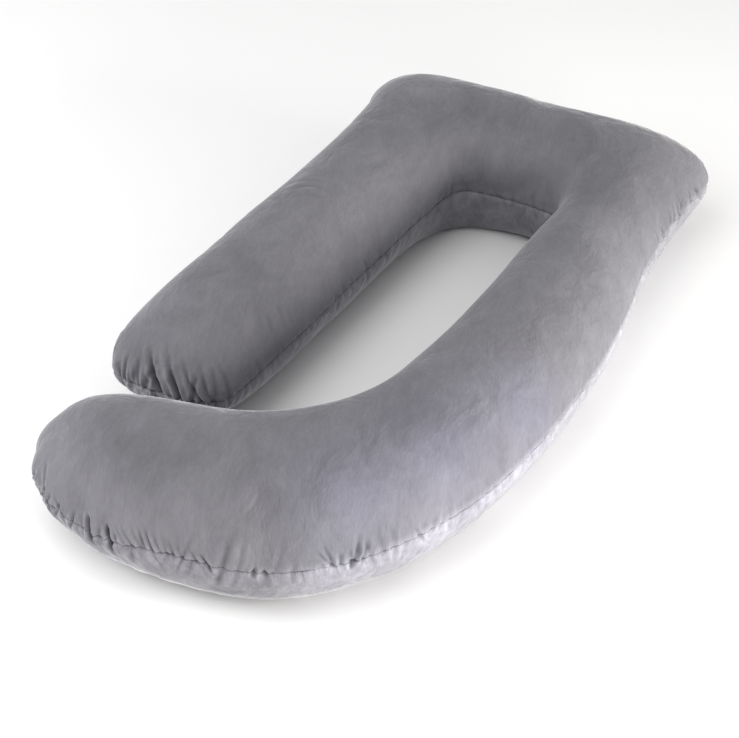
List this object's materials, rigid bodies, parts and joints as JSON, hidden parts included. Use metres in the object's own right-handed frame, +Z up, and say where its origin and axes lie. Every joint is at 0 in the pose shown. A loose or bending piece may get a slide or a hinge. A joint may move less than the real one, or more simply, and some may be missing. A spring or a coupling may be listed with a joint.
{
  "type": "body pillow",
  "caption": "Grey velvet maternity body pillow: one filled G-shaped tube with a straight arm, a head bar and a curled arm, sewn along its edge.",
  "frame": {"origin": "centre of the bounding box, on the surface the pillow lies on", "axes": "+Y towards the head bar, +X towards the curled arm's side, +Z up"},
  "size_m": [0.7761, 1.4502, 0.2261],
  "materials": {
    "velvet": "short-pile velvet, soft sheen"
  },
  "bodies": {
    "root": {"pillow": "velvet"}
  },
  "joints": []
}
